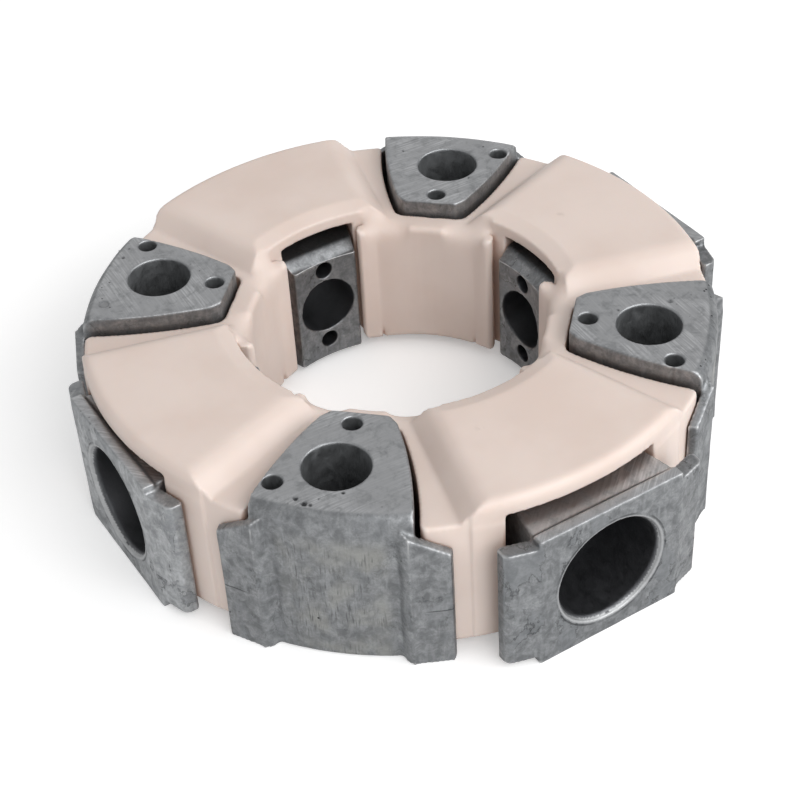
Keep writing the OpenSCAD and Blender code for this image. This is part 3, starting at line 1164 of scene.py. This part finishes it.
@dataclass
class AxialInsert(Insert):
    """An insert that bolts to the flange, with its upper end faced."""

    top: float = 47.0
    rubbed_half: float = 15.0
    edge_pits: float = 0.4
    # The raised rims that stand on the outer wall beside the wings.
    rim_y: float = 17.7
    rim_half: float = 1.5
    rim_height: float = 0.5
    rim_top: float = 37.0
    rim_groove: float = 0.3
    rim_wave_mm: float = 9.0

    def shape(self, mesh: Mesh) -> None:
        """Add the rims beside the wings to the casting waves and the dents."""
        super().shape(mesh)
        skin = skin_of(mesh)
        below = 1 - ramp(skin.places[:, 2], self.rim_top, self.rim_top + 3)
        outer = ramp(skin.normals[:, 0], 0.6, 0.9) * below
        across = (np.abs(skin.places[:, 1]) - self.rim_y) / self.rim_half
        groove = np.exp(-((across + 2) ** 2) * 2)
        height = self.rim_height * np.exp(-(across**2)) - self.rim_groove * groove
        height *= 1 + 0.5 * waves(skin.places, self.rim_wave_mm, self.index + 0.5)
        write_vertices(mesh, (skin.places + skin.normals * (height * outer)[:, None]) * MM)

    def masks(self, skin: Skin) -> dict[str, np.ndarray]:
        """The top is faced, with pits along its outer edge, and the outer wall is rubbed."""
        x, y, z = skin.places.T
        outwards, _, upwards = skin.normals.T
        middle = 1 - ramp(np.abs(y), self.rubbed_half - 4, self.rubbed_half)
        below = 1 - ramp(z, self.top - 12, self.top - 6)
        return {
            "faced": self.flat_top(skin, 1.0, 0.4),
            "rubbed": middle * below * ramp(outwards, 0.7, 0.9),
            "pitted": ramp(x, 77.0, 79.0) * ramp(upwards, 0.5, 0.8) * self.edge_pits,
        }


@dataclass
class RadialInsert(Insert):
    """An insert that bolts to the hub, with the top of its body brushed.

    bevel_x and bevel_drop say how far the top falls towards the inner end.
    """

    top: float = 41.0
    bevel_from_z: float = 35.6
    bevel_x: tuple[float, ...] = (40.3, 43.5, 60.0)
    bevel_drop: tuple[float, ...] = (4.8, 2.0, 0.0)

    def shape(self, mesh: Mesh) -> None:
        """Bevel the top at the inner end, then add the casting waves and the dents."""
        places = read_vertices(mesh) / MM
        drop = np.interp(places[:, 0], self.bevel_x, self.bevel_drop)
        above = np.clip((places[:, 2] - self.bevel_from_z) / (self.top - self.bevel_from_z), 0, 1)
        places[:, 2] -= drop * above
        write_vertices(mesh, places * MM)
        super().shape(mesh)

    def masks(self, skin: Skin) -> dict[str, np.ndarray]:
        """The top was brushed as it slid in, and is darkened with painted shadow under the ring's
        roof.
        """
        x = skin.places[:, 0]
        # Painted shadow: the part of the top that lies under the ring's roof.
        roof_shadow = ramp(x, 42.0, 43.5) * (1 - ramp(x, 64.0, 74.0))
        return {
            "faced": self.flat_top(skin, 2.5, 1.0),
            "grime": 0.7 * roof_shadow * ramp(skin.normals[:, 2], 0.4, 0.8),
        }


@dataclass(frozen=True)
class Studio:
    """Floor, world, lamps and camera."""

    # Where the photograph's camera stands and what it aims at, in millimetres.
    camera_at: tuple[float, float, float] = (-194.9, -333.3, 334.9)
    camera_aim: tuple[float, float, float] = (-19.3, -31.3, 43.0)
    camera_roll_deg: float = -3.53
    lens_mm: float = 81.8
    floor_size: float = 8.0
    floor_glow: float = 0.3
    sky_light: float = 0.58

    def build(self) -> None:
        """Build the stage and the camera."""
        self._floor()
        self._world()
        self._lamp("key_softbox", (0.72, -0.82, 0.66), 0.9, 6.3)
        self._lamp("front_softbox", (-0.05, -1.0, 0.85), 0.9, 7.8)
        self._camera()
        view = bpy.context.scene.view_settings
        view.view_transform = "Standard"

    def _floor(self) -> None:
        """A plain pale floor that renders white and keeps the object's shadow."""
        half = self.floor_size / 2
        mesh = bpy.data.meshes.new("studio_floor")
        corners = [(-half, -half, 0), (half, -half, 0), (half, half, 0), (-half, half, 0)]
        mesh.from_pydata(corners, [], [(0, 1, 2, 3)])
        floor = bpy.data.objects.new("studio_floor", mesh)
        bpy.context.scene.collection.objects.link(floor)
        material, tree, shader = new_material("white_paper_sweep")
        shader.inputs["Base Color"].default_value = linear("#f4f4f4")
        shader.inputs["Roughness"].default_value = 0.9
        seen = add(tree, "ShaderNodeLightPath")
        glow = maths(tree, "MULTIPLY", seen.outputs["Is Camera Ray"], self.floor_glow)
        tree.links.new(glow, shader.inputs["Emission Strength"])
        shader.inputs["Emission Color"].default_value = linear("#ffffff")
        mesh.materials.append(material)

    def _world(self) -> None:
        """Even light from all round, which the camera sees as white."""
        world = bpy.data.worlds.new("studio")
        bpy.context.scene.world = world
        world.use_nodes = True
        tree = world.node_tree
        ground = tree.nodes["Background"]
        ground.inputs["Color"].default_value = linear("#ffffff")
        seen = add(tree, "ShaderNodeLightPath")
        strength = span(tree, seen.outputs["Is Camera Ray"], 0.0, 1.0, self.sky_light, 1.0)
        tree.links.new(strength, ground.inputs["Strength"])

    def _lamp(self, name: str, at: tuple[float, float, float], size: float, power: float) -> None:
        """Add a square softbox that faces the part.

        Args:
            name: its name.
            at: its place in metres.
            size: side of the square in metres.
            power: its power in watts.
        """
        light = bpy.data.lights.new(name, "AREA")
        light.energy = power
        light.size = size
        lamp = bpy.data.objects.new(name, light)
        lamp.location = at
        lamp.rotation_euler = (-Vector(at)).to_track_quat("-Z", "Y").to_euler()
        bpy.context.scene.collection.objects.link(lamp)

    def _camera(self) -> None:
        """Put the camera where the photograph was taken from."""
        camera = bpy.data.cameras.new("camera")
        camera.lens = self.lens_mm
        camera.clip_start = 0.01
        holder = bpy.data.objects.new("camera", camera)
        at, aim = Vector(self.camera_at) * MM, Vector(self.camera_aim) * MM
        level = (aim - at).to_track_quat("-Z", "Y").to_matrix().to_4x4()
        roll = Euler((0, 0, math.radians(self.camera_roll_deg))).to_matrix().to_4x4()
        holder.matrix_world = Matrix.Translation(at) @ level @ roll
        bpy.context.scene.collection.objects.link(holder)
        bpy.context.scene.camera = holder


def mounts_of(frame: dict) -> dict[str, dict]:
    """The record's mounts by name."""
    return {mount["name"]: mount for mount in frame["record"]["mounts"]}


def axial_inserts(frame: dict) -> list[AxialInsert]:
    """The four inserts that bolt to the flange.

    Args:
        frame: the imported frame.

    Returns:
        The inserts, in the order of their nodes.
    """
    flange = mounts_of(frame)["flange_bolts"]["dims"]
    radius, hole_r = flange["pcd_mm"] / 2, flange["hole_r_mm"]
    made = []
    for i in range(INSERT_COUNT):
        hole = Vector((radius, 0, 0))
        hole.rotate(Euler((0, 0, math.radians(-SADDLE_TURN))))
        bores = [(hole, Vector((0, 0, 1)), hole_r)]
        for angle in AXIAL_DOWEL_TURNS:
            pitch = Vector((AXIAL_DOWEL_PITCH, 0, 0))
            pitch.rotate(Euler((0, 0, math.radians(angle - SADDLE_TURN))))
            bores.append((hole + pitch, Vector((0, 0, 1)), DOWEL_RADIUS))
        made.append(
            AxialInsert(
                node=f"axial_insert_{i + 1}",
                turn=(i + 0.5) * STEP_ANGLE + SADDLE_TURN,
                index=i + 1,
                bores=tuple(bores),
                dents=AXIAL_DENTS[i],
                edge_pits=AXIAL_EDGE_PITS[i],
            )
        )
    return made


def radial_inserts(frame: dict) -> list[RadialInsert]:
    """The four inserts that bolt to the hub.

    Args:
        frame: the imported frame.

    Returns:
        The inserts, in the order of their nodes.
    """
    made = []
    for i in range(INSERT_COUNT):
        mount = mounts_of(frame)[f"hub_bolt_{i + 1}"]
        turn = i * STEP_ANGLE
        own = Vector(mount["pos_m"]) / MM
        own.rotate(Euler((0, 0, math.radians(-turn))))
        shift = (own.x - HUB_BOLT_X, own.y, own.z - HUB_BOLT_Z)
        seat = mounts_of(frame)[f"bolt_head_seat_{i + 1}"]["dims"]
        holes = [(HUB_BOLT_Z, seat["r_mm"])]
        holes += [(HUB_BOLT_Z + s * RADIAL_DOWEL_PITCH, DOWEL_RADIUS) for s in (-1, 1)]
        bores = tuple((Vector((0, 0, z)), Vector((1, 0, 0)), radius) for z, radius in holes)
        made.append(
            RadialInsert(
                node=f"radial_insert_{i + 1}",
                turn=turn,
                shift=shift,
                index=INSERT_COUNT + i + 1,
                bores=bores,
                dents=EJECTOR_MARKS,
            )
        )
    return made


def main() -> None:
    """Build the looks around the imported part."""
    logging.basicConfig(level=logging.INFO, format="%(name)s: %(message)s")
    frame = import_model()
    nodes = frame["nodes"]
    ElastomerRing(RING_NODE).build(nodes, MouldedPolyester().build(), ELASTOMER_SLOT)
    axial_metal = FACED_METAL.build()
    for insert in axial_inserts(frame):
        insert.build(nodes, axial_metal, METAL_SLOT)
    radial_metal, lit_copy_metal = SKIN_METAL.build(), LIT_COPY_METAL.build()
    for insert in radial_inserts(frame):
        # The insert on the left takes the lit copy, as painted light.
        metal = lit_copy_metal if insert.node == LIT_COPY_NODE else radial_metal
        insert.build(nodes, metal, METAL_SLOT)
    Studio().build()


if __name__ == "__main__":
    main()
